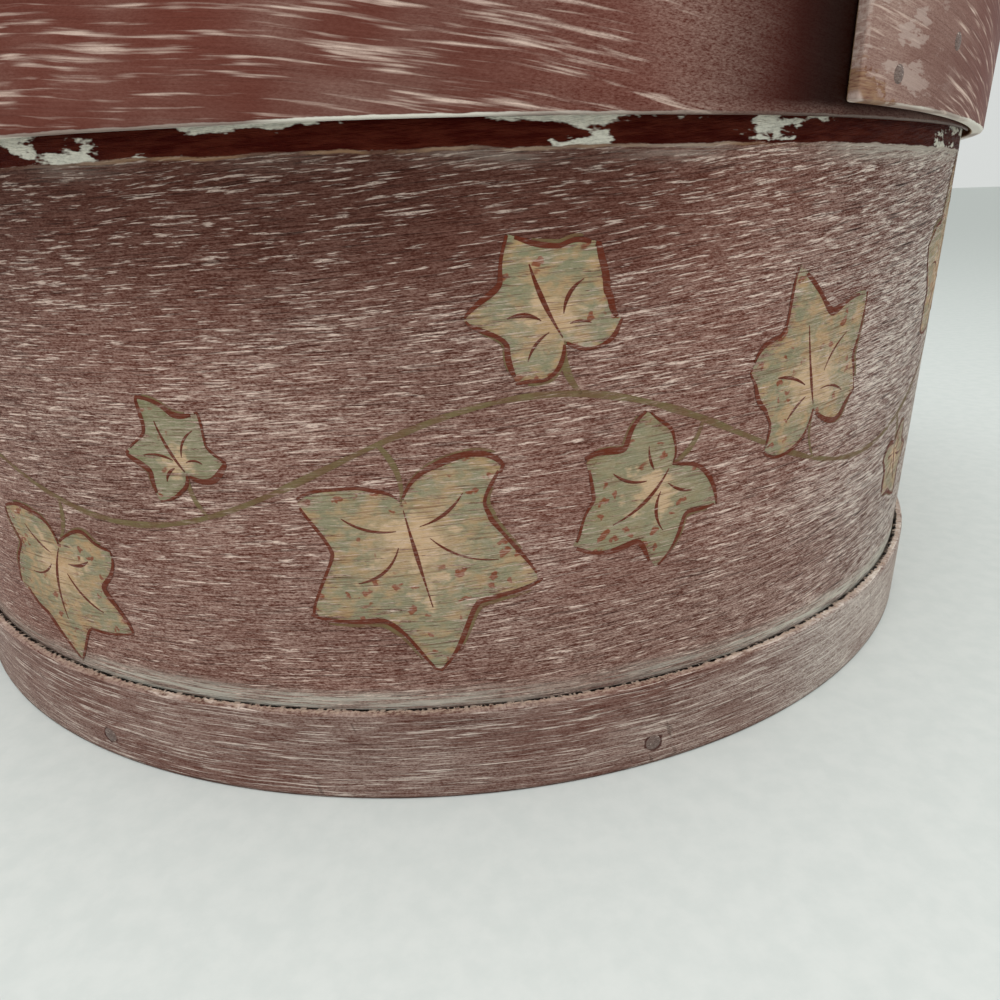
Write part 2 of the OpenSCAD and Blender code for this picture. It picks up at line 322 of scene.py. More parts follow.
def make_bent_board(strip, name, material, body, slot, node, rows):
    """A flat board with rounded edges, cut into short lengths and bent round the box."""
    outer = outside(strip)
    _, feather, _ = lap_angles(strip)
    length = outer * (2 * math.pi + feather)
    bm = bmesh.new()
    bmesh.ops.create_cube(bm, size=1.0)
    bmesh.ops.scale(bm, vec=(length, strip["thick"], strip["height"]), verts=bm.verts[:])
    middle = (length / 2, strip["thick"] / 2, strip["height"] / 2)
    bmesh.ops.translate(bm, vec=middle, verts=bm.verts[:])
    bmesh.ops.bevel(bm, geom=bm.edges[:], offset=BOARD_EDGE, affect="EDGES", segments=2, profile=0.5,
                    material=-1)
    for cuts, way in ((BOARD_STEPS[0], 0), (BOARD_STEPS[1], 0), (rows, 2)):
        runs = [e for e in bm.edges if abs(e.verts[0].co[way] - e.verts[1].co[way]) > 4 * BOARD_EDGE]
        bmesh.ops.subdivide_edges(bm, edges=runs, cuts=cuts, use_grid_fill=True)
    flat = bm.verts.layers.float_vector.new("board")
    for vert in bm.verts:
        along, deep, up = vert.co
        vert[flat] = vert.co
        turn = along / outer
        low_face, high_face = bent_faces(strip, turn)
        radius = low_face + (high_face - low_face) * deep / strip["thick"]
        if turn < feather:
            up += strip["end_rise"] * (1 - turn / feather) * (1 - up / strip["height"])
        swing = noise.noise((along / WANDER_RUN, up / WANDER_RISE, strip["height"]))
        from_middle = 2 * up / strip["height"] - 1
        if from_middle > 0 or strip["foot"] > 0:
            up += EDGE_WANDER * swing * abs(from_middle)
        bearing = math.radians(strip["end_at"]) + turn
        vert.co = Vector((radius * math.sin(bearing), -radius * math.cos(bearing), strip["foot"] + up)) * MM
    return place_piece(bm, name, material, body, slot, node)


GRAIN_WANDER = 3.0
BARE_LEVEL = 0.72
COVER_GAIN = 0.22
MARK_SCALE = (0.8, 0.6)
MARK_GAIN = 2.6
MARK_START = 0.75
MARK_SPREAD = 0.6
MARK_BREADTH = (0.01, 0.5)
MARK_SOFTNESS = 5.0
GRIT_IN_PAINT = 1.1
GRIT_IN_LIME = 5.5
FILM_UNEVEN = 1.3
PORE_DARK = 0.4
FLAKE_GAIN = 0.36
FLAKE_EDGE = 0.035


def make_limed_paint():
    """Paint rubbed with lime: a thin film, bristled brush marks that follow the grain and each carry
    their own load, fine specks and dark open pores. Film and Cover set how much lime stays, Grain and
    Speck how far the fibre and the specks show in it. Stroke, Width and Tilt are the marks' length,
    breadth and fall in millimetres, Soft is how gently they begin and end, and Patchy how far they
    gather in places."""
    group, given = new_group(
        "limed_paint",
        {"Board": "Vector", "Paint": "Color", "Lime": "Color", "Film": "Float", "Cover": "Float",
         "Grain": "Float", "Speck": "Float", "Stroke": "Float", "Width": "Float", "Tilt": "Float",
         "Soft": "Float", "Patchy": "Float"},
        {"Color": "Color", "Lime": "Float", "Pores": "Float", "Height": "Float"})
    board = given["Board"]
    along, deep, up = split(group, board)[:3]
    wander = times(group, ripple(group, board, 48, 20, 26), GRAIN_WANDER)
    grain_up = plus(group, up, plus(group, wander, given["Tilt"]))
    strokes = join(group, over(group, along, given["Stroke"]), deep, over(group, grain_up, given["Width"]))
    fibre = ripple(group, strokes, 0.4, 5, 0.38, 2.0, 0.7)
    speck = ripple(group, board, 0.7, 5, 0.24, 2.0, 0.65, (3.0, 7.0, 5.0))
    grit = plus(group, times(group, fibre, given["Grain"]), times(group, speck, given["Speck"]))
    grit_tone = plus(group, 1.0, times(group, grit, GRIT_IN_PAINT))
    fine = mottle(group, strokes, 0.5, 5, 0.8, 2.0, 0.6)
    uneven = ripple(group, board, 40, 30, 18, 3.0, 0.6, (2.0, 5.0, 3.0))
    base = minus(group, BARE_LEVEL, times(group, given["Cover"], COVER_GAIN))
    level = minus(group, base, times(group, uneven, given["Patchy"]))
    crest = plus(group, level, given["Soft"])
    broken = ramp(group, grit, -0.3, 0.05, 0.3, 1.0)
    stroke_along, _, stroke_up = split(group, strokes)[:3]
    frayed = plus(group, stroke_up, mottle(group, strokes, 0.3, 5, 0.8, 3.0, 0.6, (7.0, 3.0, 1.0)))
    spot = join(group, times(group, stroke_along, MARK_SCALE[0]), times(group, frayed, MARK_SCALE[1]), 0.0)
    marks = add(group, "ShaderNodeTexVoronoi", {"Vector": spot, "Scale": 1.0, "Randomness": 1.0},
                voronoi_dimensions="2D").outputs
    chance, loaded = split(group, marks["Color"])[:2]
    unused = minus(group, times(group, level, MARK_GAIN), MARK_START)
    breadth = ramp(group, chance, unused, plus(group, unused, MARK_SPREAD), *MARK_BREADTH)
    heart = times(group, breadth, minus(group, 1.0, times(group, given["Soft"], MARK_SOFTNESS)))
    hairs = mottle(group, strokes, 0.7, 5, 0.3, 2.0, 0.6, (4.0, 6.0, 8.0))
    bristles = ramp(group, hairs, 0.38, 0.62, 0.2, 1.0)
    load = times(group, bristles, ramp(group, loaded, 0.0, 0.7, 0.4, 1.0))
    brushed = times(group, ramp(group, marks["Distance"], breadth, heart), load)
    drawn = calc(group, "MAXIMUM", ramp(group, fine, level, crest), brushed)
    dashes = times(group, drawn, broken)
    lime_tone = plus(group, 1.0, times(group, grit, GRIT_IN_LIME))
    film_tone = plus(group, 1.0, times(group, uneven, FILM_UNEVEN))
    film = times(group, times(group, given["Film"], lime_tone), film_tone, clamp=True)
    clear = times(group, minus(group, 1.0, dashes), minus(group, 1.0, film))
    pores = ramp(group, mottle(group, strokes, 0.9, 5, 0.62, 2.0, 0.6, (1.0, 9.0, 5.0)), 0.46, 0.3)
    dark = minus(group, 1.0, times(group, pores, times(group, given["Grain"], PORE_DARK)))
    cloud = mottle(group, board, 120, 60, 60, 2.0, 0.5, (9.0, 2.0, 6.0))
    tone = times(group, times(group, dark, grit_tone), ramp(group, cloud, 0.3, 0.7, 0.85, 1.15))
    kept = times(group, minus(group, 1.0, clear), dark)
    color = blend(group, kept, toned(group, given["Paint"], tone), given["Lime"])
    relief = plus(group, times(group, fine, 0.5), times(group, grit, 0.6))
    relief = minus(group, plus(group, relief, times(group, dashes, 0.2)), times(group, pores, 0.2))
    add(group, "NodeGroupOutput", {"Color": color, "Lime": kept, "Pores": pores, "Height": relief})
    return group


def make_flakes():
    """Ragged patches where paint has stuck or chipped; Size in millimetres, Amount from 0 to 1."""
    group, given = new_group(
        "paint_flakes", {"Board": "Vector", "Size": "Float", "Amount": "Float"}, {"Mask": "Float"})
    along, deep, up = split(group, given["Board"])[:3]
    spot = join(group, over(group, along, given["Size"]), deep, over(group, up, given["Size"]))
    field = mottle(group, spot, 1.0, 9, 0.34, 5.0, 0.62, (3.0, 8.0, 2.0))
    level = minus(group, BARE_LEVEL, times(group, given["Amount"], FLAKE_GAIN))
    add(group, "NodeGroupOutput", {"Mask": ramp(group, field, level, plus(group, level, FLAKE_EDGE))})
    return group


limed_paint = make_limed_paint()
paint_flakes = make_flakes()
WALL_FACE = outside(WALL)
WALL_PAINT = shade(108, 60, 48)
WALL_LIME = shade(234, 208, 194)
BARE_PAINT = shade(58, 9, 3)
WORN_PAINT = shade(82, 32, 20)
OLD_WHITE = shade(196, 186, 174)
FLAKE_WHITE = shade(222, 218, 204)
COOL_WHITE = shade(212, 209, 196)
OCHRE = shade(158, 124, 58)
RAW_TAN = shade(158, 122, 92)
PAINT_ROUGHNESS = 0.55
GRAIN_RELIEF = 0.22
# Paler lime for the rubbed sides; on the front-right side it is also painted light.
PALE_LIME_AND_LIGHT = shade(232, 222, 212)
PAINT_MATT = (0.46, 0.7)
CHALKY = 0.7
# Where the paler, heavier lime sits; on the front-right side it is also painted light from the right.
RUBBED_AND_LIT_AT = 62.0
CLEANED_AND_LIT_START = -0.6
LEAN_AT = 33.0
LEAN_HEIGHTS = (90.0, 130.0)
WALL_LEAN = 0.05
UPPER_LEAN = 0.065
FILM_HEIGHTS = (150.0, 98.0)
UPPER_FILM = (0.04, 0.1)
WALL_FILM = 0.178
RUBBED_AND_LIT_FILM = 1.3
COVER_HEIGHTS = (40.0, 105.0)
WALL_COVER = (0.58, 0.7)
RUBBED_AND_LIT_COVER = 0.2
WALL_GRAIN = 1.2
RUBBED_AND_LIT_GRAIN = 0.9
EDGE_RAGGED = 1.8
HOOP_LINE = 26.0
BAND_TOP = HOOP_LINE + 6.4
BAND_FULL = HOOP_LINE + 1.4
# Painted shade under the lid's overhang: the heights over which it fades in, and how dark it gets.
UNDER_LID_SHADE_HEIGHTS = (150.0, 106.0)
UNDER_LID_SHADE_TONE = 0.56
LID_LINE = 151.2
HAZE_FROM = LID_LINE - 5.0
HAZE_FULL = LID_LINE - 0.5
RIDGE_LINE = LID_LINE - 0.3
RIDGE_HALF = (0.5, 0.1)
LINE_HALF = 0.15
STRIP_MIDDLE = 153.6
STRIP_FLAKE = 26.0
FLAKE_RISE = (0.4, 2.4)
FLAKE_AMOUNT = (0.4, 0.53)
FLAKES_FADE = (157.0, 166.0)
FLAKES_LOST = 0.26


def bare_inside(tree, board, color):
    """Bare pine on the face that was never painted, and paint on the rest of a bent board."""
    painted = ramp(tree, split(tree, board)[1], BOARD_EDGE * 0.2, BOARD_EDGE)
    return blend(tree, painted, pine_on(tree, board)["Color"], color)


def rubbed_and_lit_sides(tree, board, strip, start=0.0):
    """Where the box was rubbed hardest and keeps the palest lime: two sides, opposite each other.
    On the front-right side the paler lime also stands in for painted light from the right.
    """
    bearing = over(tree, split(tree, board)[0], outside(strip))
    turned = minus(tree, bearing, math.radians(RUBBED_AND_LIT_AT - strip["end_at"]))
    return ramp(tree, calc(tree, "COSINE", times(tree, turned, 2.0)), start, 1.0)


def wall_finish(tree, board):
    """The wall's outside: limed below the lid's edge, plain paint under the lid, a white band over
    the hoop, and painted shade that darkens it towards the lid's edge. Gives the colour, the relief,
    the share of lime and the pores."""
    along, _, up = split(tree, board)[:3]
    # Rubbed sides with paler, heavier lime, the front-right one also painted light from the right; a wider
    # zone round them is spared the painted shade under the lid.
    rubbed = rubbed_and_lit_sides(tree, board, WALL)
    cleaned_and_lit = ramp(tree, rubbed_and_lit_sides(tree, board, WALL, CLEANED_AND_LIT_START), 0.0, 0.5)
    turned = plus(tree, over(tree, along, WALL_FACE), math.radians(WALL["end_at"] - LEAN_AT))
    lean = times(tree, calc(tree, "SINE", times(tree, turned, 2.0)),
                 ramp(tree, up, *LEAN_HEIGHTS, 0.0, UPPER_LEAN * WALL_FACE / 2))
    upper_film = ramp(tree, cleaned_and_lit, 0.0, 1.0, *UPPER_FILM)
    film = times(tree, ramp(tree, up, *FILM_HEIGHTS, upper_film, WALL_FILM),
                 plus(tree, 1.0, times(tree, rubbed, RUBBED_AND_LIT_FILM)))
    limed = place_group(
        tree, limed_paint, Board=board, Paint=WALL_PAINT, Lime=blend(tree, rubbed, WALL_LIME, PALE_LIME_AND_LIGHT),
        Film=film, Grain=plus(tree, WALL_GRAIN, times(tree, rubbed, RUBBED_AND_LIT_GRAIN)), Speck=1.1,
        Cover=plus(tree, ramp(tree, up, *COVER_HEIGHTS, *WALL_COVER), times(tree, rubbed, RUBBED_AND_LIT_COVER)),
        Stroke=12.0, Width=0.56, Tilt=minus(tree, times(tree, along, -WALL_LEAN), lean),
        Soft=0.09, Patchy=0.16)
    edge = plus(tree, up, times(tree, ripple(tree, board, 9, 9, 4, 4.0, 0.6), EDGE_RAGGED))
    lines = ramp(tree, mottle(tree, board, 14, 9, 0.42, 2.0, 0.65), 0.38, 0.6, 0.2, 1.0)
    runs = ramp(tree, mottle(tree, board, 80, 9, 60, 2.0, 0.5, (0.7, 0.0, 0.0)), 0.36, 0.58, 0.3, 1.0)
    runs = calc(tree, "MAXIMUM", times(tree, runs, 0.8), ramp(tree, rubbed, 0.0, 0.35))
    band = times(tree, ramp(tree, edge, BAND_TOP, BAND_FULL), times(tree, lines, runs))
    washed = blend(tree, band, limed["Color"], COOL_WHITE)
    # Painted shade: the wall is darkened towards the lid's edge, where the lid's overhang shades it, less
    # so on the paler sides.
    upper_shade_tone = ramp(tree, cleaned_and_lit, 0.0, 1.0, UNDER_LID_SHADE_TONE, 1.0)
    washed = toned(tree, washed, ramp(tree, up, *UNDER_LID_SHADE_HEIGHTS, upper_shade_tone, 1.0))
    far = ramp(tree, mottle(tree, board, 70, 60, 60, 1.0, 0.5, (0.4, 0.0, 0.0)), 0.44, 0.62, 0.0, 0.55)
    far = calc(tree, "MAXIMUM", far, ramp(tree, rubbed, 0.05, 0.5, 0.0, 0.85))
    haze = times(tree, ramp(tree, edge, HAZE_FROM, HAZE_FULL), far)
    washed = blend(tree, times(tree, haze, lines), washed, OLD_WHITE)
    off_line = calc(tree, "ABSOLUTE", minus(tree, edge, RIDGE_LINE))
    ridge = times(tree, ramp(tree, off_line, *RIDGE_HALF),
                  ramp(tree, mottle(tree, board, 14, 9, 9, 3.0), 0.38, 0.56, 0.1, 0.75))
    washed = blend(tree, ridge, washed, blend(tree, far, RAW_TAN, OLD_WHITE))
    worn = ramp(tree, mottle(tree, board, 9, 9, 1.3, 4.0, 0.7), 0.36, 0.68)
    off_middle = calc(tree, "ABSOLUTE", minus(tree, up, STRIP_MIDDLE))
    amount = minus(tree, ramp(tree, off_middle, *FLAKE_RISE, *FLAKE_AMOUNT),
                   ramp(tree, up, *FLAKES_FADE, 0.0, FLAKES_LOST))
    flakes = place_group(tree, paint_flakes, Board=board, Size=STRIP_FLAKE, Amount=amount)["Mask"]
    dabs = ramp(tree, mottle(tree, board, 1.6, 9, 0.8, 3.0, 0.7), 0.3, 0.62, 0.8, 1.06)
    yellowed = ramp(tree, mottle(tree, board, 34, 9, 16, 1.0, 0.5, (0.6, 0.0, 0.3)), 0.66, 0.7, 0.0, 0.7)
    white = blend(tree, yellowed, toned(tree, FLAKE_WHITE, dabs), OCHRE)
    bare_strip = blend(tree, flakes, blend(tree, worn, BARE_PAINT, WORN_PAINT), white)
    under_lid = ramp(tree, edge, LID_LINE - LINE_HALF, LID_LINE + LINE_HALF)
    color = blend(tree, under_lid, washed, bare_strip)
    return color, limed["Height"], limed["Lime"], limed["Pores"]


wall_material, tree, shader, board = new_material("limed_wall", PAINT_ROUGHNESS)
wall_color, wall_height, wall_lime, _ = wall_finish(tree, board)
wall_color = bare_inside(tree, board, wall_color)
wall_matt = ramp(tree, wall_lime, 0.0, CHALKY, *PAINT_MATT)
dress(tree, shader, wall_color, wall_height, GRAIN_RELIEF, wall_matt)
make_bent_board(WALL, "wall_board", wall_material, "box", "wall_wood", "body_wall", 14)


# Bottom hoop: a narrower bent board round the foot of the wall, which holds the bottom planks.
# It has the wall's finish, with lime worn white along its upper edge, and nails with flat heads.
HOOP = {"inner": 192.0, "thick": 3.0, "height": 26.0, "foot": 0.0, "end_at": 208.0,
        "lap": 90.0, "end_thick": 2.0, "dip": 0.8, "end_rise": 0.0}
HOOP_PAINT = shade(100, 54, 43)
HOOP_LIME = shade(224, 206, 194)
WORN_CREAM = shade(190, 166, 148)
# Dark of the scuffs, also used for the painted shade along the hoop's foot.
SCUFF_GRIME_AND_SHADE = shade(58, 40, 33)
CRACK_DARK = shade(18, 12, 10)
CRACK_FILL = shade(164, 146, 132)
HOOP_NAIL_AT = 14.6
HOOP_NAIL_UP = 7.0
NAIL_COUNT = 8
NAIL_HEAD = 2.2
NAIL_PAINT = shade(86, 62, 56)
NAIL_SPECULAR = 0.3
NAIL_ROUGHNESS = 0.5
NAIL_RELIEF = 0.1
RING_BREADTH = (0.9, 0.2)
RUBBED_AND_LIT_HOOP_FILM = 0.4
SCUFF_LEAN = 0.35
# Painted shade along the hoop's foot where it meets the table: the heights over which it fades.
FOOT_CONTACT_SHADE = (1.3, 0.3)
WORN_EDGE = (HOOP["height"] - 0.4, HOOP["height"] - 0.1)
LIP_HEIGHTS = (HOOP["height"] - 1.2, HOOP["height"] - 0.8)
LIP_DEPTHS = (1.2, 0.95)
TACK_NODES = ("wall_lap_tacks", "hoop_lap_tacks", "rim_lap_tacks")
NAIL_NODES = ("hoop_nails", "rim_nails")


def nail_rings(tree, board, strip, first_at, up_at):
    """A dark ring of grime round each nail head along a bent board."""
    pitch = 2 * math.pi * outside(strip) / NAIL_COUNT
    start = (math.radians(first_at - strip["end_at"]) * outside(strip)) % pitch
    along, _, up = split(tree, board)[:3]
    shifted = minus(tree, along, start - pitch / 2)
    from_nail = minus(tree, calc(tree, "MODULO", shifted, pitch), pitch / 2)
    above = minus(tree, up, up_at)
    squares = plus(tree, times(tree, from_nail, from_nail), times(tree, above, above))
    smudge = ramp(tree, mottle(tree, board, 3, 9, 3, 2.0), 0.35, 0.65, -0.3, 0.5)
    smudged = plus(tree, calc(tree, "SQRT", squares), smudge)
    return ramp(tree, smudged, *(NAIL_HEAD + breadth for breadth in RING_BREADTH), 0.0, 0.85)


hoop_material, tree, shader, board = new_material("limed_hoop", PAINT_ROUGHNESS)
# The hoop's rubbed sides, paler and more limed; on the front-right side this is also painted light from the
# right.
hoop_rubbed_and_lit = ramp(tree, rubbed_and_lit_sides(tree, board, HOOP), 0.0, 0.55)
hoop_clouds = ramp(tree, mottle(tree, board, 45, 30, 16, 2.0, 0.5, (0.5, 0.0, 0.0)), 0.4, 0.64, 0.13, 0.25)
hoop_clouds = times(tree, hoop_clouds, ramp(tree, hoop_rubbed_and_lit, 0.0, 1.0, 1.0, 0.4))
limed = place_group(
    tree, limed_paint, Board=board, Paint=HOOP_PAINT, Lime=blend(tree, hoop_rubbed_and_lit, HOOP_LIME, PALE_LIME_AND_LIGHT),
    Film=plus(tree, hoop_clouds, times(tree, hoop_rubbed_and_lit, RUBBED_AND_LIT_HOOP_FILM)), Cover=0.7,
    Grain=ramp(tree, hoop_rubbed_and_lit, 0.0, 1.0, 1.0, 0.6), Speck=0.75,
    Stroke=24.0, Width=0.44, Tilt=0.0, Soft=0.09, Patchy=0.12)
hoop_along, hoop_deep, hoop_up = split(tree, board)[:3]
rough_up = plus(tree, hoop_up, times(tree, ripple(tree, board, 5, 9, 2, 3.0, 0.6), 1.2))
specks = ramp(tree, mottle(tree, board, 1.2, 0.7, 0.5, 2.0, 0.6), 0.38, 0.6, 0.1, 0.85)
ragged = ramp(tree, mottle(tree, board, 1.5, 9, 9, 2.0), 0.35, 0.65, -0.25, 0.25)
ragged_deep = plus(tree, hoop_deep, ragged)
worn_lip = ramp(tree, ragged_deep, 2.5, 1.9, 0.3, 1.0)
hoop_edge = times(tree, ramp(tree, rough_up, *WORN_EDGE), times(tree, specks, worn_lip))
leaning = join(tree, plus(tree, hoop_along, times(tree, hoop_up, SCUFF_LEAN)), hoop_deep, hoop_up)
scuffs = ramp(tree, mottle(tree, leaning, 2.6, 9, 11, 2.0, 0.55, (0.3, 0.0, 0.2)), 0.68, 0.76, 0.0, 0.45)
# Painted shade along the foot where the hoop meets the table, joined with the dark scuffs.
scuffs_and_foot_shade = calc(tree, "MAXIMUM", scuffs, ramp(tree, rough_up, *FOOT_CONTACT_SHADE, 0.0, 0.6))
hoop_color = blend(tree, scuffs_and_foot_shade, limed["Color"], SCUFF_GRIME_AND_SHADE)
hoop_color = blend(tree, hoop_edge, hoop_color, WORN_CREAM)
hoop_rings = nail_rings(tree, board, HOOP, HOOP_NAIL_AT, HOOP_NAIL_UP)
hoop_color = bare_inside(tree, board, blend(tree, hoop_rings, hoop_color, BARE_PAINT))
open_crack = ramp(tree, mottle(tree, board, 2.5, 9, 9, 3.0, 0.7), 0.42, 0.5)
lip_color = blend(tree, open_crack, CRACK_FILL, CRACK_DARK)
lip = times(tree, ramp(tree, ragged_deep, *LIP_DEPTHS), ramp(tree, hoop_up, *LIP_HEIGHTS))
hoop_color = blend(tree, lip, hoop_color, lip_color)
hoop_matt = ramp(tree, limed["Lime"], 0.0, CHALKY, *PAINT_MATT)
dress(tree, shader, hoop_color, limed["Height"], GRAIN_RELIEF, hoop_matt)
make_bent_board(HOOP, "hoop_board", hoop_material, "box", "hoop_wood", "bottom_hoop", 4)

nail_material, tree, shader, board = new_material("painted_nail_heads", NAIL_ROUGHNESS, "object")
shader.inputs["Specular IOR Level"].default_value = NAIL_SPECULAR
limed = place_group(tree, limed_paint, Board=board, Paint=NAIL_PAINT, Lime=HOOP_LIME, Film=0.1, Cover=0.4,
                    Grain=0.5, Speck=0.7, Stroke=2.0, Width=0.4, Tilt=0.0, Soft=0.1, Patchy=0.16)
dress(tree, shader, limed["Color"], limed["Height"], NAIL_RELIEF)
for fixings in TACK_NODES + NAIL_NODES:
    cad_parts[fixings].material_slots[0].material = nail_material


# Leaf trail: a winding stem with lobed leaves, painted by hand round the wall.
# The paint is thin, sage at the rims and cream in the middle, outlined in rust, and rubbed with the
# lime, so the grain shows through it.
TRAIL_SEED = 268
TRAIL_WAVES = 6
TRAIL_LEVEL = 88.0
TRAIL_SWING = 15.0
TRAIL_PHASE = 0.9
TRAIL_STEPS = 60
LEAF_COUNT = 30
LEAF_SIZES = (34.0, 21.0, 27.0, 30.0, 18.0)
LEAF_LEAN = 0.75
LEAF_CURL = 0.35
STALK_SHARE = 0.42
STALK_LEAST = 7.0
FOOT_SPREAD = 0.18
FOOT_SHIFT = 0.4
LEAF_LOBES = ((0, 1.0), (58, 0.86), (116, 0.7), (180, 0.2))
LEAF_SINUS = 0.74
LOBE_CURVE = 1.5
LEAF_WOBBLE = 0.2
LEAF_SEGMENTS = 96
LEAF_RINGS = 5
OUTLINE_STEPS = 24
OLIVE_SHARE = 0.45
OLIVE_SET_OFF = 0.05
STEM_WIDTH = 1.5
STALK_WIDTH = 1.3
OLIVE_WIDTH = 1.1
MIDRIB_WIDTH = 0.8
OUTLINE_WIDTHS = (0.8, 1.5)
VEIN_WIDTHS = (0.55, 0.85)
WIDTH_WAVER = 0.6
WAVER_LENGTH = 7
LEAF_ROUGHNESS = 0.62
WALL_SEAM = math.radians(WALL["end_at"]) * WALL_FACE
SEAM_NUDGE = 0.001
STEM_PAINT = 0.06
LEAF_PAINT = 0.09
LINE_PAINT = 0.12
STROKE_LIFT = 0.0015
STROKE_LIFTS = 17


def leaf_reach(angle, wobble):
    """The outline of a lobed leaf of length 1: its reach at an angle from the tip."""
    turn = abs(math.degrees(angle))
    for (low_at, low), (high_at, high) in zip(LEAF_LOBES, LEAF_LOBES[1:]):
        if turn <= high_at + 1e-6:
            share = (turn - low_at) / (high_at - low_at)
            sinus = LEAF_SINUS * min(low, high)
            peak = low if share < 0.5 else high
            reach = sinus + (peak - sinus) * abs(1 - 2 * share) ** LOBE_CURVE
            if high_at == LEAF_LOBES[-1][0]:
                reach = high + (low - high) * (1 - share)
            waver = noise.noise((2 * math.sin(angle), 2 * math.cos(angle), wobble))
            return reach * (1 + LEAF_WOBBLE * waver)
    return LEAF_LOBES[-1][1]


def leaf_point(leaf, angle, share):
    """A point of a leaf on the flat wall, share of the way from its middle to its outline."""
    reach = leaf["size"] * share * leaf_reach(angle, leaf["wobble"])
    lean = leaf["lean"] + angle + leaf["curl"] * reach / leaf["size"]
    return leaf["along"] + reach * math.sin(lean), leaf["up"] + reach * math.cos(lean)


def add_leaf(bm, leaf):
    """A round sheet drawn in to the leaf's outline; its attribute holds middle-to-rim and tint."""
    start = len(bm.verts)
    bmesh.ops.create_circle(bm, cap_ends=True, cap_tris=True, segments=LEAF_SEGMENTS, radius=1.0)
    bm.verts.ensure_lookup_table()
    middle = min(bm.verts[start:], key=lambda vert: vert.co.length)
    bmesh.ops.subdivide_edges(bm, edges=middle.link_edges[:], cuts=LEAF_RINGS, use_grid_fill=True)
    bm.verts.ensure_lookup_table()
    tint = bm.verts.layers.float_vector["tint"]
    for vert in bm.verts[start:]:
        share = min(vert.co.length, 1.0)
        angle = math.atan2(vert.co.x, vert.co.y)
        vert[tint] = Vector((share, leaf["tone"], 0.0))
        along, up = leaf_point(leaf, angle, share)
        vert.co = Vector((along, up, 0.0))


def add_stroke(bm, path, width, taper=0.6):
    """A brush stroke along a path of flat points, drawn out thin at both ends."""
    start = len(bm.verts)
    count = len(path) - 1
    lift = STROKE_LIFT * (len(bm.faces) % STROKE_LIFTS)
    bmesh.ops.create_grid(bm, x_segments=count, y_segments=1, size=0.5)
    bm.verts.ensure_lookup_table()
    tint = bm.verts.layers.float_vector["tint"]
    for vert in bm.verts[start:]:
        step = min(max(round((vert.co.x + 0.5) * count), 0), count)
        side = 1 if vert.co.y > 0 else -1
        before, after = path[max(step - 1, 0)], path[min(step + 1, count)]
        run = Vector((after[0] - before[0], after[1] - before[1])).normalized()
        swell = math.sin(math.pi * (0.06 + 0.88 * step / count)) ** taper
        along, up = path[step]
        waver = noise.noise((along / WAVER_LENGTH, up / WAVER_LENGTH, width))
        half = side * width / 2 * swell * (1 + WIDTH_WAVER * waver)
        vert[tint] = Vector((step / count, 0.0, 0.0))
        vert.co = Vector((along - run.y * half, up + run.x * half, lift))


def curve_path(start, end, bow, steps=14):
    """Points from start to end along a bow, bow being its height as a share of its length."""
    run = Vector((end[0] - start[0], end[1] - start[1]))
    rise = Vector((-run.y, run.x)) * bow
    shares = [step / steps for step in range(steps + 1)]
    return [tuple(Vector(start) + run * t + rise * 4 * t * (1 - t)) for t in shares]


def trail_up(along):
    return TRAIL_LEVEL + TRAIL_SWING * math.sin(TRAIL_WAVES * along / WALL_FACE + TRAIL_PHASE)


def lay_on_wall(bm, name, material, low, high):
    """Paint of real thickness: a flat sheet, cut at the wall's free end, raised and bent onto the wall."""
    cut = bmesh.ops.bisect_plane(bm, geom=bm.verts[:] + bm.edges[:] + bm.faces[:], dist=SEAM_NUDGE / 2,
                                 plane_co=(WALL_SEAM, 0, 0), plane_no=(1, 0, 0))["geom_cut"]
    bmesh.ops.split_edges(bm, edges=[part for part in cut if isinstance(part, bmesh.types.BMEdge)])
    raised = bmesh.ops.extrude_face_region(bm, geom=bm.faces[:])["geom"]
    bmesh.ops.translate(bm, verts=bm.verts[:], vec=(0, 0, low))
    bmesh.ops.translate(bm, verts=[v for v in raised if isinstance(v, bmesh.types.BMVert)],
                        vec=(0, 0, high - low))
    flat = bm.verts.layers.float_vector.new("board")
    sides = [sum(face.calc_center_median().x - WALL_SEAM for face in vert.link_faces)
             for vert in bm.verts]
    for vert, side in zip(bm.verts, sides):
        bearing = vert.co.x / WALL_FACE
        past_seam = vert.co.x - WALL_SEAM + math.copysign(SEAM_NUDGE, side)
        from_end = past_seam / WALL_FACE % (2 * math.pi)
        radius = bent_faces(WALL, from_end)[1] + vert.co.z
        vert[flat] = Vector((from_end * WALL_FACE, WALL["thick"], vert.co.y))
        vert.co = Vector((radius * math.sin(bearing), -radius * math.cos(bearing), vert.co.y)) * MM
    return place_piece(bm, name, material, "box", "wall_wood")


def new_sheet():
    bm = bmesh.new()
    bm.verts.layers.float_vector.new("tint")
    return bm


SAGE = shade(138, 135, 106)
OLIVE = shade(110, 108, 72)
CREAM = shade(204, 174, 138)
PEACH = shade(204, 160, 116)
RUST = shade(106, 46, 28)
FLECK_RUST = shade(132, 62, 34)
FLECK_SCALE = (0.27, 0.1, 0.34)
STEM_GREEN = shade(122, 108, 74)

draw = random.Random(TRAIL_SEED)
leaves = []
leaf_pitch = 2 * math.pi * WALL_FACE / LEAF_COUNT
for number in range(LEAF_COUNT):
    side = 1 if number % 2 else -1
    size = LEAF_SIZES[number % len(LEAF_SIZES)] * draw.uniform(0.92, 1.08)
    foot = (number + draw.uniform(-FOOT_SPREAD, FOOT_SPREAD)) * leaf_pitch - FOOT_SHIFT * leaf_pitch
    lean = draw.uniform(-LEAF_LEAN, LEAF_LEAN) + (0.0 if side > 0 else math.pi)
    stalk = size * STALK_SHARE + STALK_LEAST
    leaves.append({"size": size, "lean": lean, "along": foot + stalk * math.sin(lean),
                   "up": trail_up(foot) + stalk * math.cos(lean), "foot": foot,
                   "tone": draw.random(), "wobble": draw.uniform(0, 50),
                   "curl": draw.uniform(-LEAF_CURL, LEAF_CURL)})

